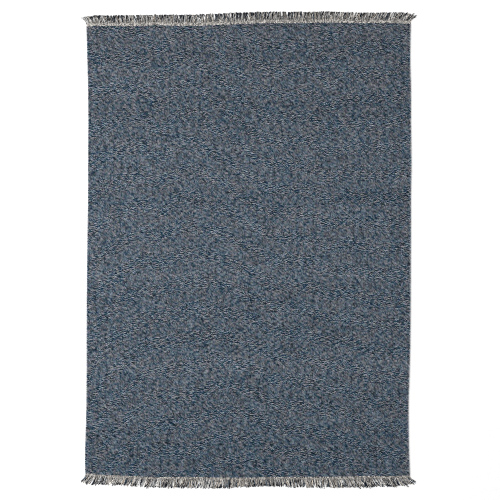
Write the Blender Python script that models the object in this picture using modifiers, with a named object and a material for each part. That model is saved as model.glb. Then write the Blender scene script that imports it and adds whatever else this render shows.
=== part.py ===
"""Flatweave rug lying flat: a woven field, and a heading with a warp fringe at each end.

Metres, +Z up. The origin is the middle of the outline, on the floor. +Y runs along the
length to the far end and +X to the right.
"""
import bisect
import math
import random
from collections import namedtuple

import bmesh
import bpy

COLLECTION_NAME = "flatweave_rug"

FIELD_THICKNESS = 0.005
SELVEDGE_ROUND = 0.0018  # radius along both sides, where the weft turns back
SELVEDGE_STEP = 0.055  # spacing of the outline's points along the sides
END_STEP = 0.012  # and along the ends, fine enough to keep the gap to the headings even

HEADING_THICKNESS = 0.0042
CLOTH_GAP = 0.0003  # between the field and each heading

STRANDS_PER_END = 150
# Width and height of a strand at its root and at its tip, and how far each strays.
ROOT_WIDTH = 0.0056
TIP_WIDTH = 0.0036
ROOT_HEIGHT = 0.0034
TIP_HEIGHT = 0.0022
ROOT_JITTER = 0.0005
TIP_JITTER = 0.0006
LENGTH_JITTER = 0.12
CLUMP_SIZES = (2, 3, 3, 4, 5)
CLUMP_PULL = 0.28  # share of the way that tips are drawn to the middle of their clump
STRAND_STEPS = (0.34, 0.68, 1.0)  # sections of a strand, as shares of its length
STRAND_BEND = 1.5  # power by which the lean grows towards the tip

# The two selvedges wander by a few millimetres along the length.
Side = namedtuple("Side", "along left right")
SIDES = (
    Side(-0.935, -0.673, 0.663),
    Side(-0.885, -0.674, 0.661),
    Side(-0.820, -0.674, 0.659),
    Side(-0.760, -0.672, 0.658),
    Side(-0.640, -0.669, 0.657),
    Side(-0.515, -0.668, 0.661),
    Side(-0.390, -0.668, 0.664),
    Side(-0.140, -0.667, 0.666),
    Side(0.100, -0.664, 0.667),
    Side(0.225, -0.662, 0.667),
    Side(0.350, -0.662, 0.669),
    Side(0.535, -0.661, 0.667),
    Side(0.660, -0.662, 0.667),
    Side(0.780, -0.665, 0.664),
    Side(0.935, -0.669, 0.666),
)

# The ends bow outwards. Reach is how far the fringe's tips lie past the field, heading
# included, and lean is the strands' angle from the length, in degrees to the right.
End = namedtuple("End", "across edge reach lean")
FAR_END = (
    End(-0.669, 0.920, 0.036, -42),
    End(-0.655, 0.921, 0.041, -28),
    End(-0.630, 0.922, 0.045, -15),
    End(-0.560, 0.922, 0.044, -8),
    End(-0.440, 0.923, 0.045, -4),
    End(-0.380, 0.926, 0.043, -3),
    End(-0.260, 0.922, 0.047, -1),
    End(-0.140, 0.926, 0.047, 0),
    End(-0.045, 0.930, 0.048, 0),
    End(0.060, 0.934, 0.047, 0),
    End(0.250, 0.934, 0.047, 3),
    End(0.325, 0.937, 0.046, 7),
    End(0.400, 0.935, 0.044, 14),
    End(0.500, 0.934, 0.043, 20),
    End(0.600, 0.934, 0.045, 25),
    End(0.640, 0.932, 0.043, 33),
    End(0.655, 0.931, 0.037, 42),
    End(0.666, 0.931, 0.028, 50),
)
NEAR_END = (
    End(-0.673, 0.919, 0.032, -40),
    End(-0.660, 0.920, 0.040, -36),
    End(-0.635, 0.923, 0.044, -32),
    End(-0.590, 0.926, 0.041, -27),
    End(-0.490, 0.930, 0.041, -24),
    End(-0.400, 0.934, 0.044, -20),
    End(-0.240, 0.934, 0.046, -13),
    End(-0.120, 0.937, 0.046, -6),
    End(-0.045, 0.937, 0.041, -2),
    End(0.030, 0.937, 0.038, 1),
    End(0.100, 0.935, 0.040, 4),
    End(0.250, 0.934, 0.044, 11),
    End(0.400, 0.933, 0.046, 20),
    End(0.500, 0.930, 0.047, 26),
    End(0.600, 0.930, 0.043, 34),
    End(0.640, 0.929, 0.038, 44),
    End(0.654, 0.928, 0.030, 50),
    End(0.663, 0.928, 0.024, 58),
)

# One row for each end: its side of the rug along Y, its table, the heading's width, its seed.
Fringe = namedtuple("Fringe", "name side table heading seed")
FRINGES = (
    Fringe("far_fringe", 1, FAR_END, 0.0115, 11),
    Fringe("near_fringe", -1, NEAR_END, 0.0090, 23),
)

# Colours as seen, from 0 to 255.
FIELD_COLOUR = (83, 92, 102)
FRINGE_COLOUR = (140, 138, 135)
CLOTH_ROUGHNESS = 0.95

Strand = namedtuple("Strand", "root_x root_y tip_x tip_y")


def clear_scene():
    for item in list(bpy.data.objects):
        bpy.data.objects.remove(item, do_unlink=True)


def read_table(rows, key, column, at):
    """Value of a column between two rows, on a cubic whose slopes come from the rows around."""
    keys = [getattr(row, key) for row in rows]
    values = [getattr(row, column) for row in rows]
    last = len(rows) - 1
    low = min(max(bisect.bisect_right(keys, at) - 1, 0), last - 1)

    def slope(i):
        before, after = max(i - 1, 0), min(i + 1, last)
        return (values[after] - values[before]) / (keys[after] - keys[before])

    span = keys[low + 1] - keys[low]
    t = min(max((at - keys[low]) / span, 0.0), 1.0)
    return (
        values[low] * (1 + 2 * t) * (1 - t) ** 2
        + values[low + 1] * t * t * (3 - 2 * t)
        + span * t * (1 - t) * (slope(low) * (1 - t) - slope(low + 1) * t)
    )


def spaced(start, stop, step):
    """Values from start up to but not including stop, evenly spaced at about the step."""
    count = max(1, round(abs(stop - start) / step))
    return [start + (stop - start) * i / count for i in range(count)]


def colour_channel(value):
    """Light's share for a colour channel given from 0 to 255."""
    share = value / 255
    return share / 12.92 if share <= 0.04045 else ((share + 0.055) / 1.055) ** 2.4


def make_material(name, colour):
    material = bpy.data.materials.new(name)
    material.use_nodes = True
    shader = material.node_tree.nodes["Principled BSDF"]
    shader.inputs["Base Color"].default_value = (*map(colour_channel, colour), 1)
    shader.inputs["Roughness"].default_value = CLOTH_ROUGHNESS
    shader.inputs["Metallic"].default_value = 0
    material.diffuse_color = shader.inputs["Base Color"].default_value
    return material


def corner(fringe, column):
    """Corner of the field at one end, where a selvedge meets the heading."""
    row = fringe.table[0 if column == "left" else -1]
    along = fringe.side * row.edge
    return read_table(SIDES, "along", column, along), along


def field_outline():
    """Points round the field: near end, right selvedge, far end, left selvedge."""
    far, near = FRINGES
    (near_left, left_low), (near_right, right_low) = corner(near, "left"), corner(near, "right")
    (far_left, left_high), (far_right, right_high) = corner(far, "left"), corner(far, "right")
    points = [
        (x, -read_table(NEAR_END, "across", "edge", x))
        for x in spaced(near_left, near_right, END_STEP)
    ]
    points += [
        (read_table(SIDES, "along", "right", y), y)
        for y in spaced(right_low, right_high, SELVEDGE_STEP)
    ]
    points += [
        (x, read_table(FAR_END, "across", "edge", x))
        for x in spaced(far_right, far_left, END_STEP)
    ]
    points += [
        (read_table(SIDES, "along", "left", y), y)
        for y in spaced(left_high, left_low, SELVEDGE_STEP)
    ]
    return points


def flat_solid(name, outline, thickness, collection):
    """Plate of the outline's shape that stands on the floor."""
    curve = bpy.data.curves.new(name, "CURVE")
    curve.dimensions = "2D"
    curve.fill_mode = "BOTH"
    curve.extrude = thickness / 2
    spline = curve.splines.new("POLY")
    spline.points.add(len(outline) - 1)
    for point, (x, y) in zip(spline.points, outline):
        point.co = (x, y, 0, 1)
    spline.use_cyclic_u = True
    guide = bpy.data.objects.new(name + "_outline", curve)
    collection.objects.link(guide)
    bpy.context.view_layer.update()
    evaluated = guide.evaluated_get(bpy.context.evaluated_depsgraph_get())
    mesh = bpy.data.meshes.new_from_object(evaluated)
    bpy.data.objects.remove(guide, do_unlink=True)

    solid = bmesh.new()
    solid.from_mesh(mesh)
    bmesh.ops.remove_doubles(solid, verts=solid.verts, dist=0.00005)
    bmesh.ops.dissolve_limit(
        solid, angle_limit=math.radians(0.1), verts=[], edges=solid.edges, delimit={"NORMAL"}
    )
    bmesh.ops.recalc_face_normals(solid, faces=solid.faces)
    bmesh.ops.translate(solid, verts=solid.verts, vec=(0, 0, thickness / 2))
    solid.to_mesh(mesh)
    solid.free()
    mesh.name = name
    part = bpy.data.objects.new(name, mesh)
    collection.objects.link(part)
    return part


def round_selvedges(part):
    """Rounds the long rims alone, so that the ends meet the headings squarely."""
    mesh = part.data
    weights = mesh.attributes.new("bevel_weight_edge", "FLOAT", "EDGE")
    for edge in mesh.edges:
        start, end = (mesh.vertices[i].co for i in edge.vertices)
        run = end - start
        along_side = abs(run.y) > 0.015 and abs(run.y) > abs(run.x)
        weights.data[edge.index].value = 1.0 if along_side and abs(run.z) < 1e-6 else 0.0
    bevel = part.modifiers.new("selvedge", "BEVEL")
    bevel.limit_method = "WEIGHT"
    bevel.width = SELVEDGE_ROUND
    bevel.segments = 3


def make_field(collection):
    part = flat_solid("rug_field", field_outline(), FIELD_THICKNESS, collection)
    round_selvedges(part)
    part.data.materials.append(make_material("field_cloth", FIELD_COLOUR))
    return part


def clump_middles(count, dice):
    """For each strand, the place in the row of the middle of its clump. The outer two stand alone."""
    middles = [0]
    while len(middles) < count - 1:
        size = min(dice.choice(CLUMP_SIZES), count - 1 - len(middles))
        middles += [len(middles) + (size - 1) / 2] * size
    return middles + [count - 1]


def strand_roots(fringe, dice):
    """Left and right side of every root along the heading, each gap between them left open."""
    left, right = corner(fringe, "left")[0], corner(fringe, "right")[0]
    pitch = (right - left - ROOT_WIDTH) / (STRANDS_PER_END - 1)
    roots = []
    for i in range(STRANDS_PER_END):
        shift = dice.uniform(-ROOT_JITTER, ROOT_JITTER) if 0 < i < STRANDS_PER_END - 1 else 0
        roots.append((left + i * pitch + shift, left + i * pitch + shift + ROOT_WIDTH))
    return roots, pitch


def lay_strands(fringe, roots, pitch, dice):
    """Where each strand starts and ends on the floor."""
    middles = clump_middles(len(roots), dice)
    strands = []
    for i, (left, right) in enumerate(roots):
        x = (left + right) / 2
        edge, reach, lean = (
            read_table(fringe.table, "across", column, x) for column in ("edge", "reach", "lean")
        )
        length = (reach - fringe.heading) * (1 - dice.uniform(0, LENGTH_JITTER))
        stray = (middles[i] - i) * pitch * CLUMP_PULL + dice.uniform(-TIP_JITTER, TIP_JITTER)
        room = math.cos(math.radians(lean)) ** 2  # leaning strands lie closer side by side
        tip_x = x + length * math.tan(math.radians(lean)) + stray * room
        root_y = edge + fringe.heading
        strands.append(Strand(x, root_y, tip_x, root_y + length))
    return strands


def strand_section(strand, share):
    """Middle, half width across the strand and height of its section at a share of its length."""
    run_x, run_y = strand.tip_x - strand.root_x, strand.tip_y - strand.root_y
    x = strand.root_x + run_x * share**STRAND_BEND
    y = strand.root_y + run_y * share
    slope_x = run_x * STRAND_BEND * share ** (STRAND_BEND - 1)
    size = math.hypot(slope_x, run_y)
    half = (ROOT_WIDTH + (TIP_WIDTH - ROOT_WIDTH) * share) / 2
    across = (half * run_y / size, -half * slope_x / size)
    return x, y, across, ROOT_HEIGHT + (TIP_HEIGHT - ROOT_HEIGHT) * share


def heading_strip(fringe, roots):
    """Bar that follows the field's end, its outer edge cut at the sides of every root."""
    cuts = [x for root in roots for x in root]
    strip = bmesh.new()
    bmesh.ops.create_grid(strip, x_segments=len(cuts) - 1, y_segments=1, size=0.5)
    strip.verts.ensure_lookup_table()
    for vert in strip.verts:
        x = cuts[round((vert.co.x + 0.5) * (len(cuts) - 1))]
        edge = read_table(fringe.table, "across", "edge", x)
        vert.co = (x, edge + (fringe.heading if vert.co.y > 0 else CLOTH_GAP), 0)
    raised = bmesh.ops.extrude_face_region(strip, geom=strip.faces[:])
    tops = [item for item in raised["geom"] if isinstance(item, bmesh.types.BMVert)]
    for vert in tops:
        vert.co.z = HEADING_THICKNESS
    bmesh.ops.recalc_face_normals(strip, faces=strip.faces)
    return strip


def outer_faces(strip):
    """The strip's outer face at each root, from left to right."""
    walls = [face for face in strip.faces if face.normal.y > 0.9]
    walls.sort(key=lambda face: face.calc_center_median().x)
    return walls[::2]


def draw_out(strip, faces, strands, share):
    """Extrudes every root's face to the strands' sections at one share of their length."""
    grown = bmesh.ops.extrude_discrete_faces(strip, faces=faces)["faces"]
    grown.sort(key=lambda face: face.calc_center_median().x)
    for face, strand in zip(grown, strands):
        x, y, (across_x, across_y), height = strand_section(strand, share)
        middle = face.calc_center_median()
        for vert in face.verts:
            side = 1 if vert.co.x > middle.x else -1
            top = vert.co.z > middle.z
            vert.co = (x + side * across_x, y + side * across_y, height if top else 0)
    return grown


def make_fringe(fringe, collection):
    dice = random.Random(fringe.seed)
    roots, pitch = strand_roots(fringe, dice)
    strands = lay_strands(fringe, roots, pitch, dice)
    strip = heading_strip(fringe, roots)
    faces = outer_faces(strip)
    for share in STRAND_STEPS:
        faces = draw_out(strip, faces, strands, share)
    if fringe.side < 0:
        bmesh.ops.scale(strip, verts=strip.verts, vec=(1, -1, 1))
    bmesh.ops.triangulate(strip, faces=strip.faces)
    bmesh.ops.recalc_face_normals(strip, faces=strip.faces)
    mesh = bpy.data.meshes.new(fringe.name)
    strip.to_mesh(mesh)
    strip.free()
    part = bpy.data.objects.new(fringe.name, mesh)
    collection.objects.link(part)
    mesh.materials.append(make_material(fringe.name + "_yarn", FRINGE_COLOUR))
    return part


def main():
    clear_scene()
    collection = bpy.data.collections.new(COLLECTION_NAME)
    bpy.context.scene.collection.children.link(collection)
    make_field(collection)
    for fringe in FRINGES:
        make_fringe(fringe, collection)


main()
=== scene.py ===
"""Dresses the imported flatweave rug: the melange weave, the cream headings and the warp fringe."""
import logging
import math
from dataclasses import dataclass
from enum import Enum
from typing import Any, Sequence

import bpy
import numpy as np
from numpy.typing import NDArray
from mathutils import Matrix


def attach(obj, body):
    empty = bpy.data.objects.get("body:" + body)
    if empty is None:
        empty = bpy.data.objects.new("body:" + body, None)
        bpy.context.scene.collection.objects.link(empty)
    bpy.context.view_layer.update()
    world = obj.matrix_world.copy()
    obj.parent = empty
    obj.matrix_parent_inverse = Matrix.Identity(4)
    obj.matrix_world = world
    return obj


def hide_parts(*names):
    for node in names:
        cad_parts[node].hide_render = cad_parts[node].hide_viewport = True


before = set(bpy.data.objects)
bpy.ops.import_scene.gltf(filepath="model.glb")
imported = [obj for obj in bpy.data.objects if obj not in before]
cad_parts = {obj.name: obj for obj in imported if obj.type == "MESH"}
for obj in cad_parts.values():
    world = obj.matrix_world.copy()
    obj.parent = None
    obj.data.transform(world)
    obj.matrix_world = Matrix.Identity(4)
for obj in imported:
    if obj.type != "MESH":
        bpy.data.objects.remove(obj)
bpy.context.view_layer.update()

log = logging.getLogger("flatweave_rug")
Floats = NDArray[np.float64]

PICK_COUNT = 435  # weft rows from end to end of the field
WARP = 0.00822  # spacing of the warps under them
THICKNESS = 0.005  # of the cloth
SHARP = math.radians(80)  # faces that meet at a wider angle keep a hard edge
SIDE_GAP, END_GAP = 0.03, 0.04  # margins round a strip in its cell of the layout, as shares
CAP_PLACE, CAP_RADIUS = 0.015, 0.012  # where an end face lies in the margin, and its size


class RugEnd(Enum):
    """The two ends of the rug, by the side of the origin that they lie on along Y."""

    FAR = 1
    NEAR = -1


class YarnShade(Enum):
    """Yarn colours as seen, each channel from 0 to 255."""

    CREAM = (244, 240, 233)
    BEIGE = (201, 194, 185)
    GREY = (142, 141, 139)
    BLUE_GREY = (78, 92, 104)
    NAVY = (1, 20, 41)
    BLACK = (7, 7, 8)


def linear(colour: Sequence[float]) -> Floats:
    """Turns a colour as seen into shares of light.

    Args:
        colour: red, green and blue from 0 to 255.

    Returns:
        The three shares of light, from 0 to 1.
    """
    share = np.asarray(colour, float) / 255
    return np.where(share <= 0.04045, share / 12.92, ((share + 0.055) / 1.055) ** 2.4)


@dataclass(frozen=True)
class Curve:
    """A smooth line through a few stations, given as columns of keys and values."""

    keys: tuple[float, ...]
    values: tuple[float, ...]

    def at(self, where: Floats) -> Floats:
        """Reads the cubic between two stations, its slopes taken from the stations around.

        Args:
            where: keys to read at, of any shape. Past the ends the end values hold.

        Returns:
            The values there, of the same shape.
        """
        keys, values = np.array(self.keys), np.array(self.values)
        slopes = np.empty_like(values)
        slopes[1:-1] = (values[2:] - values[:-2]) / (keys[2:] - keys[:-2])
        slopes[0] = (values[1] - values[0]) / (keys[1] - keys[0])
        slopes[-1] = (values[-1] - values[-2]) / (keys[-1] - keys[-2])
        low = np.clip(np.searchsorted(keys, where, side="right") - 1, 0, len(keys) - 2)
        span = keys[low + 1] - keys[low]
        t = np.clip((where - keys[low]) / span, 0, 1)
        return (
            values[low] * (1 + 2 * t) * (1 - t) ** 2
            + values[low + 1] * t * t * (3 - 2 * t)
            + span * t * (1 - t) * (slopes[low] * (1 - t) - slopes[low + 1] * t)
        )


def columns(*rows: tuple[float, ...]) -> list[Curve]:
    """Makes a smooth line of each column of a table, keyed by its first column.

    Args:
        rows: the table's rows, in order of their first number.

    Returns:
        One curve for each column after the first.
    """
    key, *rest = zip(*rows)
    return [Curve(tuple(key), tuple(column)) for column in rest]


# Each row: place along the length, left selvedge, right selvedge.
LEFT_EDGE, RIGHT_EDGE = columns(
    (-0.935, -0.673, 0.663),
    (-0.885, -0.674, 0.661),
    (-0.820, -0.674, 0.659),
    (-0.760, -0.672, 0.658),
    (-0.640, -0.669, 0.657),
    (-0.515, -0.668, 0.661),
    (-0.390, -0.668, 0.664),
    (-0.140, -0.667, 0.666),
    (0.100, -0.664, 0.667),
    (0.225, -0.662, 0.667),
    (0.350, -0.662, 0.669),
    (0.535, -0.661, 0.667),
    (0.660, -0.662, 0.667),
    (0.780, -0.665, 0.664),
    (0.935, -0.669, 0.666),
)


@dataclass(frozen=True)
class EndShape:
    """How the cloth ends at one side: its edge, how far the fringe reaches past it, its lean."""

    end: RugEnd
    edge: Curve
    reach: Curve
    lean: Curve
    heading: float  # width of the heading
    ragged: float  # spread of the strands' lengths, as a share
    spare: float  # how much longer the strands are than their mean reach, as a share
    marked: float  # chance that the strands at a place across are dark near their tips
    dipped: float  # where along a strand the earliest dark marks start, as a share
    felted: float  # how far the strands' roots go over into the heading's beige
    rooted: float  # share of a strand over which that fades
    beige: tuple[int, int, int]  # that beige, as seen
    gain: float  # factor on the strands' light
    left: float  # places across of the heading's two ends
    right: float


# Each row: place across, edge of the field, reach of heading and fringe, lean in degrees.
FAR_SHAPE = EndShape(
    RugEnd.FAR,
    *columns(
        (-0.669, 0.920, 0.036, -42),
        (-0.655, 0.921, 0.041, -28),
        (-0.630, 0.922, 0.045, -15),
        (-0.560, 0.922, 0.044, -8),
        (-0.440, 0.923, 0.045, -4),
        (-0.380, 0.926, 0.043, -3),
        (-0.260, 0.922, 0.047, -1),
        (-0.140, 0.926, 0.047, 0),
        (-0.045, 0.930, 0.048, 0),
        (0.060, 0.934, 0.047, 0),
        (0.250, 0.934, 0.047, 3),
        (0.325, 0.937, 0.046, 7),
        (0.400, 0.935, 0.044, 14),
        (0.500, 0.934, 0.043, 20),
        (0.600, 0.934, 0.045, 25),
        (0.640, 0.932, 0.043, 33),
        (0.655, 0.931, 0.037, 42),
        (0.666, 0.931, 0.028, 50),
    ),
    heading=0.0115,
    ragged=0.04,
    spare=1.005,
    marked=0.78,
    dipped=0.33,
    felted=0.94,
    rooted=0.28,
    beige=(208, 203, 196),
    gain=0.96,
    left=-0.6686,
    right=0.6659,
)
NEAR_SHAPE = EndShape(
    RugEnd.NEAR,
    *columns(
        (-0.673, 0.919, 0.032, -40),
        (-0.660, 0.920, 0.040, -36),
        (-0.635, 0.923, 0.044, -32),
        (-0.590, 0.926, 0.041, -27),
        (-0.490, 0.930, 0.041, -24),
        (-0.400, 0.934, 0.044, -20),
        (-0.240, 0.934, 0.046, -13),
        (-0.120, 0.937, 0.046, -6),
        (-0.045, 0.937, 0.041, -2),
        (0.030, 0.937, 0.038, 1),
        (0.100, 0.935, 0.040, 4),
        (0.250, 0.934, 0.044, 11),
        (0.400, 0.933, 0.046, 20),
        (0.500, 0.930, 0.047, 26),
        (0.600, 0.930, 0.043, 34),
        (0.640, 0.929, 0.038, 44),
        (0.654, 0.928, 0.030, 50),
        (0.663, 0.928, 0.024, 58),
    ),
    heading=0.009,
    ragged=0.075,
    spare=0.96,
    marked=0.70,
    dipped=0.43,
    felted=0.56,
    rooted=0.3,
    beige=(174, 170, 165),
    gain=1.0,
    left=-0.6731,
    right=0.6627,
)


def smooth_noise(dice: np.random.Generator, shape: tuple[int, int], width: int) -> Floats:
    """Random rows, each smoothed along itself by a raised-cosine window.

    Args:
        dice: seeded source of numbers.
        shape: number of rows and of places along each.
        width: the window's full width, in places.

    Returns:
        An array of the shape with a mean near zero and a spread of about one.
    """
    window = 1 - np.cos(2 * np.pi * (np.arange(width) + 0.5) / width)
    window /= np.sqrt((window**2).sum())
    raw = dice.normal(size=(shape[0], shape[1] + width))
    spectrum = np.fft.rfft(raw, axis=1) * np.fft.rfft(window, raw.shape[1])
    return np.fft.irfft(spectrum, raw.shape[1], axis=1)[:, : shape[1]]


def make_piece(name: str, points: Floats, flipped: bool) -> bpy.types.Object:
    """Makes closed tubes from their rings of points, as one smooth-shaded object.

    Args:
        name: the object's name.
        points: its points as tubes by rings by sides by 3.
        flipped: whether the corners of the faces run the other way round. Unflipped, they
            face outwards where a ring runs clockwise as seen from its tube's far end.

    Returns:
        The new object, at the origin and linked to the scene. Its faces are the tubes'
        sides, then their near ends and then their far ones.
    """
    lines, rings, sides = points.shape[:3]
    line, ring, side = np.indices((lines, rings - 1, sides))
    base, turned = (line * rings + ring) * sides, (side + 1) % sides
    quads = (base + side, base + sides + side, base + sides + turned, base + turned)
    first = np.arange(lines)[:, None] * rings * sides + np.arange(sides)
    last = first + (rings - 1) * sides
    faces = []
    for corners in (np.stack(quads, axis=-1).reshape(-1, 4), first, last[:, ::-1]):
        faces += (corners[:, ::-1] if flipped else corners).tolist()
    mesh = bpy.data.meshes.new(name)
    mesh.from_pydata(points.reshape(-1, 3).tolist(), [], faces)
    mesh.validate()
    mesh.shade_smooth()
    mesh.set_sharp_from_angle(angle=SHARP)
    piece = bpy.data.objects.new(name, mesh)
    bpy.context.scene.collection.objects.link(piece)
    return piece


def add_map(piece: bpy.types.Object, name: str, places: Floats) -> None:
    """Adds a UV map from one place a point.

    Args:
        piece: the object whose mesh gets the map.
        name: the map's name.
        places: one row of U and V a point.
    """
    mesh = piece.data
    corner_points = np.empty(len(mesh.loops), np.int32)
    mesh.loops.foreach_get("vertex_index", corner_points)
    layer = mesh.uv_layers.new(name=name)
    layer.uv.foreach_set("vector", places[corner_points].astype(np.float32).ravel())


def add_values(piece: bpy.types.Object, name: str, values: Floats) -> None:
    """Adds a value or a colour to every point.

    Args:
        piece: the object whose mesh gets the attribute.
        name: the attribute's name.
        values: one number a point, or one row of linear red, green and blue.
    """
    if values.ndim == 1:
        layer = piece.data.attributes.new(name, "FLOAT", "POINT")
        layer.data.foreach_set("value", values.astype(np.float32))
        return
    layer = piece.data.attributes.new(name, "FLOAT_COLOR", "POINT")
    full = np.concatenate([values, np.ones((len(values), 1))], axis=1)
    layer.data.foreach_set("color", full.astype(np.float32).ravel())


def add_strips(
    piece: bpy.types.Object,
    points: Floats,
    flipped: bool,
    folds: int = 1,
    wide: int = 1,
    under: float = 1.0,
) -> None:
    """Adds a map that lays tubes out flat, as strips in the cells of a grid.

    Round a tube the map runs by the mean length of each side, and along it by the ring's
    number. The two end faces lie as small circles in the margins of their strip.

    Args:
        piece: the object that make_piece made.
        points: its points as tubes by rings by sides by 3.
        flipped: whether the corners of its faces run the other way round.
        folds: how many strips each tube is cut into.
        wide: number of strips side by side.
        under: how wide the sides that lie on the floor are laid out, as a share.
    """
    lines, rings, sides = points.shape[:3]
    lengths = np.linalg.norm(np.roll(points, -1, axis=2) - points, axis=-1).mean(axis=(0, 1))
    low = np.maximum(points, np.roll(points, -1, axis=2))[..., 2].mean(axis=(0, 1)) < 0.0001
    lengths = lengths * np.where(low, under, 1.0)
    around = np.concatenate([[0], np.cumsum(lengths)]) / lengths.sum()
    around = SIDE_GAP + (1 - 2 * SIDE_GAP) * around
    each = -(-(rings - 1) // folds)
    line, ring, side = np.indices((lines, rings - 1, sides))
    strip, place = line * folds + ring // each, ring % each
    tall = -(-lines * folds // wide)
    u = (strip[..., None] % wide + around[side[..., None] + np.array([0, 0, 1, 1])]) / wide
    along = (place[..., None] + np.array([0, 1, 1, 0])) / each
    along = END_GAP + (1 - 2 * END_GAP) * along
    quads = np.stack([u, (strip[..., None] // wide + along) / tall], axis=-1).reshape(-1, 4, 2)
    turn = 2 * np.pi * np.arange(sides) / sides
    circle = CAP_RADIUS * np.stack([np.cos(turn) / wide, np.sin(turn) / tall], axis=-1)
    first = np.arange(lines) * folds
    caps = []
    for cell, margin in ((first, CAP_PLACE), (first + folds - 1, 1 - CAP_PLACE)):
        middle = np.stack([(cell % wide + 0.5) / wide, (cell // wide + margin) / tall])
        caps.append((middle.T[:, None, :] + circle).reshape(-1, 2))
    if flipped:
        quads = quads[:, ::-1]
    layer = piece.data.uv_layers.new(name="OFBake")
    places = np.concatenate([quads.reshape(-1, 2), *caps])
    layer.uv.foreach_set("vector", places.astype(np.float32).ravel())


Socket = bpy.types.NodeSocket
Value = Any  # a number, a colour or another node's socket
Stop = tuple[float, Sequence[float]]  # a place on a ramp and its linear colour


class Graph:
    """A new material's node tree, with a short call for each kind of node used here."""

    def __init__(self, name: str) -> None:
        """Starts the material with a Principled surface and an output."""
        self.material = bpy.data.materials.new(name)
        self.material.use_nodes = True
        self.tree = self.material.node_tree
        self.tree.nodes.clear()
        self.surface = self.node("ShaderNodeBsdfPrincipled")
        output = self.node("ShaderNodeOutputMaterial")
        self.tree.links.new(self.surface.outputs["BSDF"], output.inputs["Surface"])

    def node(self, kind: str, **settings: Any) -> bpy.types.Node:
        """Adds a node and sets its properties."""
        new = self.tree.nodes.new(kind)
        for key, value in settings.items():
            setattr(new, key, value)
        return new

    def feed(self, socket: Socket, value: Value) -> None:
        """Links another socket into this one, or sets its constant."""
        if isinstance(value, bpy.types.NodeSocket):
            self.tree.links.new(value, socket)
        else:
            socket.default_value = value

    def math(self, operation: str, *inputs: Value) -> Socket:
        """Adds a Math node.

        Args:
            operation: Blender's name of the operation.
            inputs: its inputs, as many as it has.

        Returns:
            The node's result.
        """
        new = self.node("ShaderNodeMath", operation=operation)
        for socket, value in zip(new.inputs, inputs):
            self.feed(socket, value)
        return new.outputs[0]

    def times(self, first: Value, second: Value, *plus: Value) -> Socket:
        """Multiplies two numbers, and adds a third where one is given."""
        return self.math("MULTIPLY_ADD" if plus else "MULTIPLY", first, second, *plus)

    def sine(self, turns: Value) -> Socket:
        """Gives the sine of a number of turns."""
        return self.math("SINE", self.times(turns, 2 * math.pi))

    def hump(self, value: Value, power: float) -> Socket:
        """Rises and falls once from each whole number to the next, as a half turn's sine."""
        half_turn = self.times(self.math("FRACT", value), math.pi)
        return self.math("POWER", self.math("SINE", half_turn), power)

    def pair(self, first: Value, second: Value) -> Socket:
        """Joins two numbers into a vector."""
        new = self.node("ShaderNodeCombineXYZ")
        self.feed(new.inputs[0], first)
        self.feed(new.inputs[1], second)
        return new.outputs[0]

    def parts(self, map_name: str) -> tuple[Socket, Socket]:
        """Gives the U and V of one of the piece's own maps."""
        uv = self.node("ShaderNodeUVMap", uv_map=map_name)
        split = self.node("ShaderNodeSeparateXYZ")
        self.feed(split.inputs[0], uv.outputs[0])
        return split.outputs[0], split.outputs[1]

    def speckle(self, first: Value, second: Value) -> Socket:
        """Gives each whole step of the first number a random number from 0 to 1.

        Each value of the second number has its own row of them.
        """
        new = self.node("ShaderNodeTexWhiteNoise", noise_dimensions="2D")
        self.feed(new.inputs["Vector"], self.pair(self.math("FLOOR", first), second))
        return new.outputs["Value"]

    def clouds(self, first: Value, second: Value, detail: float = 0.0) -> Socket:
        """Gives smooth noise over two numbers, with features one unit wide, from 0 to 1."""
        new = self.node("ShaderNodeTexNoise", noise_dimensions="2D")
        self.feed(new.inputs["Vector"], self.pair(first, second))
        new.inputs["Scale"].default_value = 1.0
        new.inputs["Detail"].default_value = detail
        return new.outputs[0]

    def ramp(self, value: Value, *stops: Stop) -> Socket:
        """Turns a number into a colour.

        Args:
            value: the number, from 0 to 1.
            stops: places and linear colours, in order.

        Returns:
            The colour, blended between the stops.
        """
        new = self.node("ShaderNodeValToRGB")
        elements = new.color_ramp.elements
        while len(elements) < len(stops):
            elements.new(0.5)
        for element, (place, colour) in zip(elements, stops):
            element.position = place
            element.color = (*colour, 1.0)
        self.feed(new.inputs[0], value)
        return new.outputs[0]

    def mix(self, share: Value, first: Value, second: Value, blend: str = "MIX") -> Socket:
        """Blends two colours.

        Args:
            share: how much of the second colour shows.
            first: first colour.
            second: second colour.
            blend: Blender's name of the blend.

        Returns:
            The blended colour.
        """
        new = self.node("ShaderNodeMix", data_type="RGBA", blend_type=blend)
        self.feed(new.inputs[0], share)
        self.feed(new.inputs[6], first)
        self.feed(new.inputs[7], second)
        return new.outputs[2]

    def shade(self, colour: Value, value: Value, *stops: Stop) -> Socket:
        """Multiplies a colour by the one that a ramp gives for a number."""
        return self.mix(1.0, colour, self.ramp(value, *stops), "MULTIPLY")

    def finish(self, colour: Value, height: Value, depth: float, roughness: float) -> None:
        """Wires the surface up.

        Args:
            colour: base colour.
            height: relief, from 0 to 1.
            depth: height of the relief in metres.
            roughness: the surface's roughness.
        """
        self.feed(self.surface.inputs["Base Color"], colour)
        self.surface.inputs["Roughness"].default_value = roughness
        self.surface.inputs["Specular IOR Level"].default_value = 0.15
        self.surface.inputs["Sheen Weight"].default_value = 0.08
        self.surface.inputs["Sheen Roughness"].default_value = 0.5
        bump = self.node("ShaderNodeBump")
        bump.inputs["Strength"].default_value = 1.0
        bump.inputs["Distance"].default_value = depth
        self.feed(bump.inputs["Height"], height)
        self.feed(self.surface.inputs["Normal"], bump.outputs[0])


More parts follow.
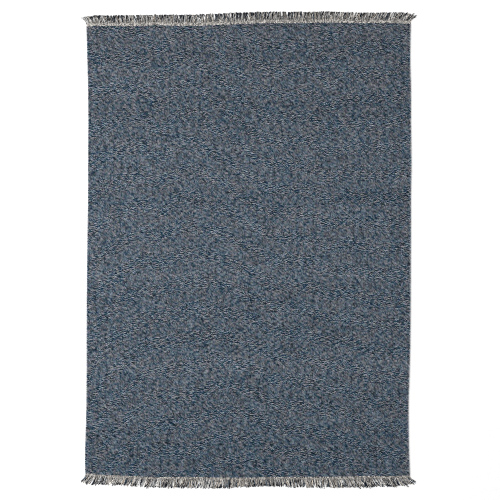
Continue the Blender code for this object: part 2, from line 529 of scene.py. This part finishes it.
@dataclass(frozen=True)
class MelangeWeave:
    """The field's finish: picks of mixed yarn in short flecks, tied at every fourth warp.

    Tones are in levels from 0 to 200, at which the two palettes are read. The cool palette
    is the teal fibre and the warm one the grey, and the yarn wanders between them.
    """

    name: str = "field_melange"
    fleck: float = 0.0040  # length of a fleck of one tone along the yarn
    joined: float = 0.2  # share of the flecks that are joined in pairs
    fibre: float = 0.0019  # length of the finer flecks in it
    contrast: float = 91.0  # range of the flecks' tones, in levels
    fibre_contrast: float = 46.0
    fuzz: float = 1.1  # how far single fibres reach over from fleck to fleck, in picks of twist
    strand: float = 0.0016  # length of such a fibre's end
    strands: float = 12.0  # number of such fibres side by side in a pick
    lay: float = 0.0016  # length of one turn of the plies
    wave: float = 14.5  # swing of the yarn's mixture, in levels
    wave_warps: float = 4.3  # warps from one light part of the yarn to the next
    sway: float = 0.45  # how unevenly the parts follow on each other, as a share
    patch: float = 17.0  # range of the broad lighter and darker patches, in levels
    banding: float = 12.0  # range of the uneven bands along the length, in levels
    beat: float = 46.0  # picks from one even band to the next
    beaten: float = 1.6  # swing of those, in levels
    knot: float = 34.0  # how much darker the few dark knots are, in levels
    knots: float = 0.035  # their share
    knot_length: float = 0.0085
    drift: float = 4.0  # how far the warps wander sideways, in warps
    tie: float = 0.0034  # reach of the dip where a warp ties a pick down
    tied: float = 19.0  # painted shade in the dip at a tie: how much darker it is, in levels
    rise: float = 0.0046  # reach of the place where a pick stands up, which gets a painted highlight
    proud_highlight: float = 18.0  # how much lighter that painted highlight is, in levels
    odd: float = 2.5  # how much darker every other pick is, in levels
    end_darkening: float = 7.0  # how much darker the two ends are, in levels
    opposed: float = 0.14  # how much a fleck shows paler beside darker neighbours
    middle: float = 87.0  # the yarn's middle tone
    hue_length: float = 0.016  # length of the parts that are more teal or more grey
    parted: float = 1.8  # how sharply these part
    cast: float = 49.0  # tone at which the green or rosy cast is whole
    warmed: float = 0.14  # how far the far end goes over to the warm palette
    side_band: float = 0.009  # width of the darker bands along the selvedges
    side_dark: float = 24.0  # how much darker they are at the very edge, in levels
    left_rim: float = 0.0048  # width of the selvedges' lighter rims
    right_rim: float = 0.0075
    lifted: float = 84.0  # how much lighter they are at the very edge, in levels
    relief: float = 0.0008
    roughness: float = 0.92
    scale: float = 200.0  # tone at the far end of the palettes
    palettes: tuple[tuple[int, tuple[int, int, int], tuple[int, int, int]], ...] = (
        (20, (0, 25, 42), (6, 20, 31)),
        (40, (11, 49, 70), (33, 46, 54)),
        (60, (34, 63, 83), (50, 61, 70)),
        (90, (77, 95, 109), (89, 91, 98)),
        (130, (120, 132, 143), (130, 130, 134)),
        (180, (170, 178, 187), (177, 175, 179)),
    )  # each row: a tone, its cool colour and its warm one

    def flecks(self, g: Graph, warps: Socket, in_row: Socket, row: Socket) -> Socket:
        """Gives the tone of the fleck at a place along one pick.

        A fleck's number is its place along the yarn in flecks, slid by a length of the
        pick's own, and slanted across the pick by the yarn's twist. Some flecks are joined
        in pairs.

        Args:
            g: the material's graph.
            warps: place across, in warps.
            in_row: place across the pick, from 0 to 1.
            row: the pick's number.

        Returns:
            A random tone from -0.5 to 0.5.
        """
        slide = g.times(g.speckle(row, 7.0), 97.0)
        along = g.times(warps, WARP / self.fleck, slide)
        along = g.times(in_row, 0.6, along)
        short = g.speckle(along, row)
        pair = g.times(along, 0.5)
        long = g.speckle(pair, g.math("ADD", row, 0.21))
        joined = g.math("LESS_THAN", g.speckle(pair, g.math("ADD", row, 0.77)), self.joined)
        tone = g.times(g.math("SUBTRACT", long, short), joined, short)
        return g.math("SUBTRACT", tone, 0.5)

    def yarn_tone(self, g: Graph, warps: Socket, picks: Socket, row: Socket) -> Socket:
        """Sums the yarn's own variation.

        To the middle tone come the flecks, less a share of those in the picks beside it, finer
        flecks, a wave with a start of its own in each pick, a few dark knots, broad patches,
        faint bands along the length, and a darkening with the fourth power of the distance
        from the middle. Single fibres fray the flecks' ends, by noise drawn out along the yarn.

        Args:
            g: the material's graph.
            warps: place across, in warps.
            picks: place along, in picks.
            row: the pick's number.

        Returns:
            The tone in levels.
        """
        frayed = g.clouds(g.times(warps, WARP / self.strand), g.times(picks, self.strands))
        in_row = g.times(g.math("SUBTRACT", frayed, 0.5), self.fuzz, g.math("FRACT", picks))
        own = self.flecks(g, warps, in_row, row)
        before = self.flecks(g, warps, in_row, g.math("SUBTRACT", row, 1.0))
        after = self.flecks(g, warps, in_row, g.math("ADD", row, 1.0))
        own = g.times(g.math("ADD", before, after), -self.opposed, own)
        tone = g.times(own, self.contrast, self.middle)

        fine = g.times(warps, WARP / self.fibre, g.times(in_row, 1.3))
        fine = g.speckle(fine, g.math("ADD", row, 0.37))
        tone = g.times(g.math("SUBTRACT", fine, 0.5), self.fibre_contrast, tone)

        phase = g.times(warps, 1 / self.wave_warps, g.times(g.speckle(row, 3.0), 9.0))
        sway = g.clouds(g.times(warps, 0.31), g.times(row, 5.3))
        wave = g.sine(g.times(sway, self.sway, phase))
        tone = g.times(wave, self.wave, tone)

        place = g.times(warps, WARP / self.knot_length, g.times(row, 0.31))
        knot = g.speckle(place, g.math("FLOOR", g.times(picks, 0.6)))
        knot = g.math("LESS_THAN", knot, self.knots)
        tone = g.times(knot, -self.knot, tone)

        patch = g.clouds(g.times(warps, 0.15), g.times(picks, 0.08), 1.0)
        tone = g.times(g.math("SUBTRACT", patch, 0.5), self.patch, tone)
        band = g.clouds(g.times(picks, 0.045), 2.5, detail=1.0)
        tone = g.times(g.math("SUBTRACT", band, 0.5), self.banding, tone)
        beat = g.math("SINE", g.times(picks, 2 * math.pi / self.beat))
        tone = g.times(beat, self.beaten, tone)
        from_middle = g.times(picks, 2 / PICK_COUNT, -1.0)
        return g.times(g.math("POWER", from_middle, 4.0), -self.end_darkening, tone)

    def near_tie(self, g: Graph, warps: Socket, shift: Value, reach: float) -> Socket:
        """Gives 1 at a warp that ties a pick down, falling to 0 at a distance from it.

        Args:
            g: the material's graph.
            warps: place across, in warps. A tie comes at every fourth.
            shift: how far the ties are moved, in repeats of four warps.
            reach: the distance in metres.

        Returns:
            A number from 0 to 1.
        """
        repeat = g.math("FRACT", g.math("ADD", g.times(warps, 0.25, 0.5), shift))
        away = g.math("ABSOLUTE", g.math("SUBTRACT", repeat, 0.5))
        near = g.times(away, -4 * WARP / reach, 1.0)
        return g.math("SMOOTH_MAX", near, 0.0, 0.2)

    def selvedge(self, g: Graph, warps: Socket, tone: Socket) -> Socket:
        """Darkens the last warps at both sides, and lightens their rims, the right one's wider.

        Args:
            g: the material's graph.
            warps: place across, in warps, positive on the right.
            tone: the tone in levels.

        Returns:
            The changed tone. Each change falls in proportion to the distance from the edge.
        """
        away = g.node("ShaderNodeAttribute", attribute_name="from_edge").outputs["Fac"]
        band = g.times(away, -1 / self.side_band, 1.0)
        tone = g.times(g.math("MAXIMUM", band, 0.0), -self.side_dark, tone)
        left, right = -1 / self.left_rim, -1 / self.right_rim
        fall = g.times(g.math("GREATER_THAN", warps, 0.0), right - left, left)
        rim = g.math("MAXIMUM", g.times(away, fall, 1.0), 0.0)
        return g.times(rim, self.lifted, tone)

    def hue(self, g: Graph, warps: Socket, picks: Socket, tone: Socket) -> Socket:
        """Reads both palettes at a tone, and wanders between them finely and broadly.

        A green or rosy cast is laid over that, in inverse proportion to the tone.

        Args:
            g: the material's graph.
            warps: place across, in warps.
            picks: place along, in picks.
            tone: the tone in levels.

        Returns:
            The yarn's colour.
        """
        share = g.math("DIVIDE", tone, self.scale)
        cool, warm = (
            g.ramp(share, *((row[0] / self.scale, linear(row[side])) for row in self.palettes))
            for side in (1, 2)
        )
        across = g.times(warps, WARP / self.hue_length)
        along = g.times(picks, 0.29)
        broad = g.clouds(g.times(warps, 0.13), g.times(picks, 0.07), 1.0)
        wander = g.times(broad, 0.6, g.clouds(across, along))
        far = g.math("POWER", g.times(picks, 1 / PICK_COUNT), 6.0)
        wander = g.times(far, self.warmed, wander)
        share = g.times(wander, self.parted, 0.5 - self.parted * 0.8)
        colour = g.mix(share, cool, warm)
        green = g.clouds(g.times(across, 1.5, 57.0), g.times(along, 1.6))
        tint = g.ramp(green, (0.25, (1.06, 0.84, 1.06)), (0.75, (0.94, 1.16, 0.94)))
        return g.mix(g.math("DIVIDE", self.cast, tone), colour, tint, "MULTIPLY")

    def build(self) -> bpy.types.Material:
        """Draws the weave on the piece's own map, which counts warps across and picks along.

        Returns:
            The material.
        """
        g = Graph(self.name)
        warps, picks = g.parts("weave")
        row = g.math("FLOOR", picks)
        odd = g.math("MODULO", row, 2.0)
        drift = g.clouds(g.times(warps, 0.035), g.times(picks, 0.016), 1.0)
        warps = g.times(drift, self.drift, warps)
        half = g.times(odd, -0.5, 0.5)
        tied = self.near_tie(g, warps, half, self.tie)
        proud_highlight = self.near_tie(g, warps, 0.0, self.rise)
        proud_highlight = g.times(proud_highlight, g.math("SUBTRACT", 1.0, odd))
        tone = self.yarn_tone(g, warps, picks, row)
        tone = g.times(odd, -self.odd, tone)
        # Painted shade: the dips at the ties are darkened in the colour.
        tone = g.times(tied, -self.tied, tone)
        # Painted highlight: the places where the even picks stand up are lightened in the colour.
        tone = self.selvedge(g, warps, g.times(proud_highlight, self.proud_highlight, tone))
        colour = self.hue(g, warps, picks, tone)

        swell = g.times(g.hump(picks, 0.5), g.hump(g.math("ADD", warps, half), 0.18))
        swell = g.times(swell, g.times(tied, -0.45, 1.0))
        ply = g.sine(g.times(picks, 1.6, g.times(warps, WARP / self.lay)))
        # Painted shade: the colour darkens towards the hollows between the picks, over the warps
        # and in the ties' dips.
        colour = g.shade(colour, swell, (0.0, (0.42, 0.43, 0.46)), (0.7, (1, 1, 1)))
        g.finish(colour, g.times(ply, 0.05, swell), self.relief, self.roughness)
        return g.material


@dataclass(frozen=True)
class HeadingCloth:
    """The headings' finish: cream picks over lighter and darker warps."""

    name: str
    middle: float  # the yarn's middle tone, in levels
    fall: float  # how much darker each pick outwards is, in levels
    contrast: float  # range of the knots' tones, in levels
    fine_contrast: float = 62.0  # and of the finer flecks'
    relief: float = 0.0005
    roughness: float = 0.92

    def build(self) -> bpy.types.Material:
        """Draws the picks on the piece's own map, which counts warps across and picks outwards.

        Returns:
            The material.
        """
        g = Graph(self.name)
        warps, picks = g.parts("weave")
        row = g.math("FLOOR", picks)
        half = g.times(g.math("MODULO", row, 2.0), 0.5)
        across = g.times(warps, 2.0, half)
        knot = g.speckle(across, row)
        fine = g.speckle(g.times(warps, 5.3), g.math("ADD", row, 0.4))
        tone = g.times(knot, self.contrast, g.times(row, -self.fall))
        middle = self.middle - (self.contrast + self.fine_contrast) / 2
        tone = g.times(fine, self.fine_contrast, g.math("ADD", tone, middle))
        colour = g.ramp(
            g.math("DIVIDE", tone, 250.0),
            (0.20, linear((48, 50, 53))),
            (0.44, linear((112, 110, 109))),
            (0.66, linear((168, 164, 159))),
            (0.96, linear((243, 238, 231))),
        )
        swell = g.times(g.hump(picks, 0.4), g.hump(across, 0.35))
        # Painted shade: the colour darkens towards the hollows between the picks and between the
        # warps.
        colour = g.shade(colour, swell, (0.0, (0.5, 0.49, 0.48)), (0.7, (1, 1, 1)))
        g.finish(colour, swell, self.relief, self.roughness)
        return g.material


@dataclass(frozen=True)
class FringeYarn:
    """The strands' finish: each yarn's own colour, with the plies' twist as relief and painted
    shade, and loose fibres.
    """

    name: str = "fringe_yarn"
    plies: float = 2.0
    turns: float = 11.0  # of the plies round each other, along a yarn
    flecks: float = 9.0  # lighter and darker parts along a yarn
    relief: float = 0.0005
    roughness: float = 0.95

    def build(self) -> bpy.types.Material:
        """Takes the yarn's colour from its points and draws flecks, plies with painted shade in
        their grooves, and fibres on it.

        The map's U is the yarn's number plus its share round the yarn, and V runs along it.

        Returns:
            The material.
        """
        g = Graph(self.name)
        own = g.node("ShaderNodeAttribute", attribute_name="yarn_colour")
        place, along = g.parts("ply")
        number, around = g.math("FLOOR", place), g.math("FRACT", place)
        ply = g.sine(g.times(along, self.turns, g.times(around, self.plies)))
        height = g.times(ply, 0.5, 0.5)
        slid = g.times(g.speckle(number, 5.0), 3.0, g.times(along, self.flecks))
        fleck = g.speckle(slid, number)
        fibre = g.clouds(g.times(around, 9.0), g.times(along, 60.0), 2.0)
        colour = own.outputs["Color"]
        # The first ramp is painted shade in the grooves between the plies; the flecks and the
        # fibres are the yarn's own colour.
        for value, *stops in (
            (height, (0.0, (0.50, 0.50, 0.52)), (0.6, (1, 1, 1))),
            (fleck, (0.0, (0.40, 0.42, 0.45)), (1.0, (1.56, 1.54, 1.51))),
            (fibre, (0.3, (0.78, 0.78, 0.79)), (0.7, (1.16, 1.16, 1.15))),
        ):
            colour = g.shade(colour, value, *stops)
        g.finish(colour, height, self.relief, self.roughness)
        return g.material


@dataclass(frozen=True)
class PaleFloor:
    """The floor's finish: matte white, with a faint grain."""

    name: str = "pale_floor"
    relief: float = 0.00005
    roughness: float = 0.9

    def build(self) -> bpy.types.Material:
        """Makes the floor's material."""
        g = Graph(self.name)
        place = g.node("ShaderNodeTexCoord")
        grain = g.node("ShaderNodeTexNoise")
        g.feed(grain.inputs["Vector"], place.outputs["Object"])
        grain.inputs["Scale"].default_value = 40.0
        stops = (0.3, (0.96, 0.96, 0.96)), (0.7, (0.98, 0.98, 0.98))
        colour = g.ramp(grain.outputs[0], *stops)
        g.finish(colour, grain.outputs[0], self.relief, self.roughness)
        return g.material


@dataclass
class WovenField:
    """The field: one closed sheet, ribbed by its picks, with its two selvedges turned."""

    columns: int = 84
    rough_left: float = -0.667  # the field's left side and width, good enough for its ends
    rough_width: float = 1.332
    rib_depth: float = 0.0008
    slub: float = 0.00022  # spread of the picks' thickness along themselves
    slub_length: int = 6  # of its thick and thin parts, in columns
    swing: float = 1.6  # widest swing of the thickness, in spreads
    wander: float = 0.00035  # spread of the picks' places along the length
    wander_length: int = 14  # of its sways, in columns
    turn: float = 0.0116  # spacing of the weft's turns along a selvedge
    turn_depth: float = 0.0009
    stand: float = 0.0015  # how far the left selvedge's turns stand past the straight edge
    seed: int = 5

    def section(self) -> tuple[Floats, Floats, Floats]:
        """Gives the cloth's cross-section as one loop, clockwise as seen along +Y.

        Returns:
            For each point of the loop: its share across from left to right, its inset from
            the nearer edge in metres, and its height as a share of the thickness.
        """
        inset = np.array([0.0, 0.0004, 0.0013, 0.0030])
        rise = np.array([0.5, 0.80, 0.96, 1.0])
        under = np.array([0.0016, 0.0006])
        inner = np.linspace(0, 1, self.columns + 2)[1:-1]
        share = np.concatenate([[0] * 4, inner, [1] * 4, [1] * 2, [0.67, 0.33], [0] * 2])
        edge = np.concatenate([inset, 0 * inner, inset[::-1], under[::-1], [0, 0], under])
        top = np.concatenate([rise, 0 * inner + 1, rise[::-1], [0.18, 0.0], [0, 0], [0.0, 0.18]])
        return share, edge, top

    def surface(self) -> tuple[Floats, Floats, Floats]:
        """Works out every point from its place in the section and its row.

        A row of points lies at every crown and every hollow between two picks. Along the
        length a point lies between the two bowed ends, in proportion to its row. Across it
        lies between the two selvedges, in proportion to its share. The sways and the turns
        fade towards the ends, as the 0.3rd power of a sine, and the turns show in the outer
        sixtieth of the width.

        Returns:
            Points as rows by section places by 3, their weave map in warps and picks, and
            their distance from the nearer selvedge.
        """
        dice = np.random.default_rng(self.seed)
        share, inset, top = self.section()
        row = np.arange(2 * PICK_COUNT + 1)[:, None]
        t = row / (2 * PICK_COUNT)
        rough_x = self.rough_left + share[None, :] * self.rough_width
        near, far = -NEAR_SHAPE.edge.at(rough_x), FAR_SHAPE.edge.at(rough_x)
        y = near + t * (far - near)
        slack = np.sin(np.pi * t) ** 0.3
        wave = smooth_noise(dice, (len(row), len(share)), self.wander_length)
        y = y + slack * self.wander * wave
        left, right = LEFT_EDGE.at(y), RIGHT_EDGE.at(y)
        scallop = self.turn_depth * (0.5 - 0.5 * np.cos(2 * np.pi * y / self.turn)) * slack
        sign = np.where(share < 0.5, 1.0, -1.0)
        outer = np.clip(1 - np.minimum(share, 1 - share) * 60, 0, 1)
        turned = scallop - self.stand * (share < 0.5)
        x = left + share * (right - left) + sign * (inset + outer * turned)
        crown = (row % 2) * np.ones_like(share)
        swell = smooth_noise(dice, (PICK_COUNT, len(share)), self.slub_length)
        swell = np.clip(np.repeat(swell, 2, axis=0), -self.swing, self.swing)
        swell = np.concatenate([swell, swell[-1:]])
        over = (top > 0.9).astype(float)
        z = THICKNESS * top - over * (1 - crown) * self.rib_depth
        z = z - over * self.slub * (self.swing + swell)
        weave = np.stack([x / WARP, t * PICK_COUNT + 0 * x], axis=-1)
        return np.stack([x, y, z], axis=-1), weave, np.minimum(x - left, right - x)

    def build(self) -> bpy.types.Object:
        """Makes the sheet and dresses it.

        Returns:
            The finished piece.
        """
        points, weave, from_edge = self.surface()
        piece = make_piece("woven_field", points[None], flipped=True)
        add_map(piece, "weave", weave.reshape(-1, 2))
        add_strips(piece, points[None], flipped=True, under=0.4)
        add_values(piece, "from_edge", from_edge.ravel())
        piece.data.materials.append(MelangeWeave().build())
        return piece


@dataclass
class Heading:
    """One heading: a narrow band of cream picks that follows the field's end."""

    shape: EndShape
    cloth: bpy.types.Material
    picks: int
    lap: float = 0.0004  # how far it reaches over the field's end
    thickness: float = 0.0044
    step: float = 0.00205  # spacing of the points along the band, a quarter of WARP
    hollow: float = 0.72  # height between the picks, as a share of the thickness
    crown: float = 0.2  # how much a pick's crown adds to that
    bump: float = 0.08  # how much a warp lifts or lowers the crown
    pressed: float = 0.8  # share of the first crown that shows against the field's end
    wobble: float = 0.00025  # spread of the picks' places
    wobble_length: int = 30  # of its sways, in points
    seed: int = 8

    def build(self) -> bpy.types.Object:
        """Carries the band's cross-section along the field's end.

        The section has a crown on every pick and a hollow on each side of it, but for the
        first, which lies against the field's end. Along the band the crown rises over one
        warp and dips over the next, and neighbouring picks rise over opposite warps. The
        band is flattened at its two ends.

        Returns:
            The finished piece.
        """
        shape, dice = self.shape, np.random.default_rng(self.seed + self.shape.end.value)
        count = int((shape.right - shape.left) / self.step)
        x = np.linspace(shape.left, shape.right, count)[:, None]
        pick = np.concatenate([np.arange(0, self.picks + 0.01, 0.25), [self.picks, 0.0]])
        top = np.concatenate([np.ones(len(pick) - 2), [0.0, 0.0]])
        row = np.clip(np.floor(pick), 0, self.picks - 1)
        crown = np.sqrt(np.abs(np.sin(np.pi * pick)))
        crown[0] = self.pressed
        warp = np.sin(2 * np.pi * x / WARP + np.pi * row[None, :])
        wobble = smooth_noise(dice, (len(pick), count), self.wobble_length).T * self.wobble
        width = shape.heading + self.lap
        out = shape.edge.at(x) - self.lap + width * pick[None, :] / self.picks
        out = out + wobble * np.clip(pick, 0, 1)
        ends = 1 - 0.6 * (np.abs(2 * (x - shape.left) / (shape.right - shape.left) - 1) > 0.9985)
        rise = self.hollow + self.crown * crown[None, :] + self.bump * warp * crown[None, :]
        z = self.thickness * top[None, :] * rise * ends
        flipped = shape.end is RugEnd.NEAR
        points = np.stack([x + 0 * z, shape.end.value * out, z], axis=-1)[None]
        piece = make_piece(f"{shape.end.name.lower()}_heading", points, flipped)
        weave = np.stack([x / WARP + 0 * z, 0 * z + pick[None, :] * 0.999], axis=-1)
        add_map(piece, "weave", weave.reshape(-1, 2))
        add_strips(piece, points, flipped, folds=8, wide=8)
        piece.data.materials.append(self.cloth)
        return piece


@dataclass
class Fringe:
    """One end's fringe: dark yarns on the floor, and light yarns in clumps over them."""

    shape: EndShape
    yarn: bpy.types.Material
    under_count: int = 330
    over_count: int = 380
    radius: float = 0.00145  # of a yarn
    jitter: float = 0.35  # how far a root lies off its even place, in spacings
    splay: float = 9.0  # spread of the leans, in degrees
    curl: float = 0.0019  # spread of the sideways sway
    raised: float = 0.0021  # how high the upper layer's roots lie over the lower layer's
    tucked: float = 0.003  # how far the roots reach back under the heading
    twist: float = 1.5  # turns of the ring along a yarn
    tip: float = 0.05  # share of a yarn in which its tip rounds off
    tint: float = 0.04  # spread of the yarns' warmth
    mark: float = 0.0049  # width of a dark mark near the tips
    run_out: float = 0.7  # share of the marks that run out to the tip
    inky: float = 0.18  # share of the marks that are black and not navy
    rings: int = 9
    sides: int = 5
    seed: int = 31

    @property
    def stations(self) -> Floats:
        """Places of the rings along a yarn, in even steps but for the blunt tip's short one."""
        return np.append(np.linspace(0, 1 - self.tip, self.rings - 1), 1.0)

    def strands(self, count: int, layer: int, dice: np.random.Generator) -> dict[str, Floats]:
        """Chooses where each yarn of a layer starts and how it lies.

        Args:
            count: number of yarns.
            layer: 0 for the yarns on the floor and 1 for those over them.
            dice: seeded source of numbers.

        Returns:
            For each yarn: its root, sideways run, reach, curl, thickness and base height.
        """
        shape = self.shape
        pitch = (shape.right - shape.left) / count
        order = np.arange(count)
        jitter = dice.uniform(-self.jitter, self.jitter, count)
        root = shape.left + (order + 0.5) * pitch + jitter * pitch
        clump = np.repeat(np.arange(count), dice.integers(2, 6, count))[:count]
        middle = (np.bincount(clump, root) / np.maximum(np.bincount(clump), 1))[clump]
        reach = shape.reach.at(root) - shape.heading
        ragged = dice.normal(0, shape.ragged, count) - 0.06 * dice.random(clump.max() + 1)[clump]
        reach = reach * (shape.spare + ragged)
        lean = shape.lean.at(root) + dice.normal(0, self.splay, count)
        lean = np.radians(np.clip(lean, min(shape.lean.values) - 2, max(shape.lean.values) + 2))
        pull = (0.55 if layer else 0.25) * np.cos(lean) ** 2
        return {
            "root": root,
            "run": reach * np.tan(lean) + pull * (middle - root),
            "reach": reach,
            "curl": dice.normal(0, self.curl, count),
            "girth": self.radius * dice.uniform(0.8, 1.2, count),
            "base": np.full(count, self.raised * layer),
        }

    def tubes(self, strands: dict[str, Floats]) -> Floats:
        """Carries a five-sided ring along each yarn.

        The path leaves the heading straight, turns towards its lean as the 1.5th power of
        its share, and sways by a sine. The ring widens a little towards the cut tip, rounds
        it off in the last step, and turns once and a half round the path, as the plies do.

        Args:
            strands: the arrays of strands().

        Returns:
            Points as yarns by rings by sides by 3.
        """
        s = self.stations[None, :]
        root, run, reach, curl, girth, base = (
            strands[key][:, None] for key in ("root", "run", "reach", "curl", "girth", "base")
        )
        x = root + run * s**1.5 + curl * np.sin(np.pi * 1.3 * s + root * 900)
        inner = self.shape.edge.at(root) + self.shape.heading - self.tucked
        out = inner + (reach + self.tucked) * s
        slope = np.gradient(x, axis=1) / np.gradient(out, axis=1)
        size = np.hypot(slope, 1)
        round_off = np.clip((1 - s) / self.tip, 0.6, 1) * (0.95 + 0.15 * s**2)
        ripple = 1 + 0.10 * np.sin(s * 19 + root * 700)
        thick = girth * round_off * ripple
        floor_gap = thick + base * (1 - 0.55 * s**2) * np.where(base > 0, 1, 0)
        turn = 2 * np.pi * np.arange(self.sides) / self.sides
        turn = turn[None, None, :] + (2 * np.pi * self.twist * s)[:, :, None]
        flat, up = np.cos(turn), np.sin(turn)
        oval = thick[:, :, None]
        px = x[:, :, None] + oval * flat / size[:, :, None]
        py = out[:, :, None] - oval * flat * (slope / size)[:, :, None]
        pz = np.maximum(floor_gap[:, :, None] + oval * up, 0.0)
        return np.stack([px, self.shape.end.value * py, pz], axis=-1)

    def colours(self, tips: Floats, layer: int, dice: np.random.Generator) -> Floats:
        """Picks each yarn's colour and its dark marks.

        Each yarn is a little warmer or cooler than its shade. It changes from ring to ring,
        most at its root, and goes over into the heading's beige there. The marks belong to
        places across, so that yarns of both layers whose tips meet there are dark together,
        and three in five that follow a dark place stay light. Most marks run out to the tip.

        Args:
            tips: place across of each yarn's tip.
            layer: 0 for the yarns on the floor and 1 for those over them.
            dice: seeded source of numbers.

        Returns:
            Linear colours as yarns by rings by 3.
        """
        count = len(tips)
        odds = ((0.02, 0.10, 0.22, 0.22, 0.24, 0.20), (0.24, 0.34, 0.24, 0.09, 0.05, 0.04))[layer]
        palette = np.array([linear(shade.value) for shade in YarnShade])
        chosen = palette[dice.choice(len(palette), count, p=odds)][:, None, :]
        chosen = chosen * dice.uniform(0.78, 1.22, (count, 1, 1))
        warmth = dice.normal(0, self.tint, (count, 1, 1))
        chosen = chosen * (1 + warmth * np.array([1.0, 0.1, -1.0]))
        s = self.stations[None, :, None]
        uneven = 1 + (0.5 - 0.25 * s) * dice.uniform(-1, 1, (count, self.rings, 1))
        root = self.shape.felted * np.clip(1 - s / self.shape.rooted, 0, 1)
        shade = chosen * self.shape.gain * (1 - root) + linear(self.shape.beige) * root
        shade = shade * uneven

        marks = np.random.default_rng(self.seed + 7 + self.shape.end.value)
        places = int(1.5 / self.mark)
        here = np.clip(((tips + 0.75) / self.mark).astype(int), 0, places - 1)
        dyed = marks.random(places) < self.shape.marked
        dyed &= ~(np.roll(dyed, 1) & (marks.random(places) < 0.6))
        start = np.where(dyed, self.shape.dipped + marks.uniform(0, 0.42, places), 2)
        runs = marks.random(places) < self.run_out
        length = np.where(runs, 2, marks.uniform(0.2, 0.4, places))
        inks = linear(YarnShade.NAVY.value), linear(YarnShade.BLACK.value)
        ink = np.array(inks)[(marks.random(places) < self.inky).astype(int)][here][:, None, :]
        start = (start[here] + dice.normal(0, 0.05, count))[:, None, None]
        into = np.clip((s - start) / 0.1, 0, 1)
        out_of = np.clip((s - start - length[here][:, None, None]) / 0.1, 0, 1)
        dark = (into - out_of) * (0.95 if layer else 0.97)
        return shade * (1 - dark) + ink * dark

    def build(self) -> bpy.types.Object:
        """Makes both layers as one mesh and dresses it.

        Returns:
            The finished piece.
        """
        dice = np.random.default_rng(self.seed + self.shape.end.value)
        layers, shades = [], []
        for layer, count in enumerate((self.under_count, self.over_count)):
            strands = self.strands(count, layer, dice)
            layers.append(self.tubes(strands))
            shades.append(self.colours(strands["root"] + strands["run"], layer, dice))
        points, shade = np.concatenate(layers), np.concatenate(shades)
        flipped = self.shape.end is RugEnd.NEAR
        name = f"{self.shape.end.name.lower()}_fringe_yarns"
        piece = make_piece(name, points, flipped)
        around = np.arange(len(points))[:, None, None] + np.arange(self.sides) / self.sides
        along = self.stations[None, :, None]
        ply = np.stack(np.broadcast_arrays(around, along + 0 * points[..., 0]), axis=-1)
        add_map(piece, "ply", ply.reshape(-1, 2))
        full = np.repeat(shade[:, :, None], self.sides, axis=2)
        add_values(piece, "yarn_colour", full.reshape(-1, 3))
        add_strips(piece, points, flipped, wide=54)
        piece.data.materials.append(self.yarn)
        return piece


@dataclass
class Studio:
    """The pale floor, the soft light and the camera straight above."""

    floor_size: float = 60.0
    gap: float = 0.0003  # between the floor and the rug
    height: float = 6.0  # of the camera over the rug
    frame_width: float = 2.0576  # of the floor that the picture shows
    aim: tuple[float, float] = (0.0041, 0.0)
    world_light: float = 0.80
    window_power: float = 118.0
    window_size: float = 3.0
    window_place: tuple[float, float, float] = (-3.0, 0.6, 3.2)
    window_tilt: tuple[float, float, float] = (-8.0, -43.0, 0.0)  # in degrees

    def build(self) -> None:
        """Adds the floor, the world, the light and the camera to the scene."""
        bpy.ops.mesh.primitive_grid_add(x_subdivisions=8, y_subdivisions=8, size=self.floor_size)
        floor = bpy.context.active_object
        floor.name = "floor"
        floor.data.transform(((1, 0, 0, 0), (0, 1, 0, 0), (0, 0, 1, -self.gap), (0, 0, 0, 1)))
        floor.data.materials.append(PaleFloor().build())

        world = bpy.data.worlds.new("soft_studio")
        world.use_nodes = True
        background = world.node_tree.nodes["Background"]
        background.inputs["Color"].default_value = (1, 1, 1, 1)
        background.inputs["Strength"].default_value = self.world_light
        bpy.context.scene.world = world

        light = bpy.data.lights.new("window", "AREA")
        light.shape, light.size, light.energy = "DISK", self.window_size, self.window_power
        lamp = bpy.data.objects.new("window", light)
        lamp.location = self.window_place
        lamp.rotation_euler = [math.radians(turn) for turn in self.window_tilt]
        bpy.context.scene.collection.objects.link(lamp)

        lens = bpy.data.cameras.new("above")
        lens.sensor_width = 36.0
        lens.lens = 36.0 * self.height / self.frame_width
        camera = bpy.data.objects.new("above", lens)
        camera.location = (*self.aim, self.height + THICKNESS)
        bpy.context.scene.collection.objects.link(camera)
        scene = bpy.context.scene
        scene.camera = camera
        scene.view_settings.view_transform = "Standard"
        scene.cycles.use_denoising = False
        scene.cycles.pixel_filter_type = "BOX"


def main() -> None:
    """Builds the studio and the rug's pieces in order, puts each under the root body and hides its
    imported part.
    """
    logging.basicConfig(level=logging.INFO, format="%(message)s")
    Studio().build()
    yarn = FringeYarn().build()
    cloth = WovenField().build()
    log.info("%s: %d faces", cloth.name, len(cloth.data.polygons))
    edging = []
    ends = (
        (FAR_SHAPE, 3, HeadingCloth("far_heading_cream", 145.0, -4.0, 138.0)),
        (NEAR_SHAPE, 2, HeadingCloth("near_heading_cream", 131.0, -10.0, 120.0)),
    )
    for shape, picks, cream in ends:
        node = f"{shape.end.name.lower()}_fringe"
        pieces = [Heading(shape, cream.build(), picks).build(), Fringe(shape, yarn).build()]
        for piece in pieces:
            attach(piece, "root")
            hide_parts(node)
            log.info("%s: %d faces", piece.name, len(piece.data.polygons))
        edging += pieces
    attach(cloth, "root")
    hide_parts("rug_field")


if __name__ == "__main__":
    main()
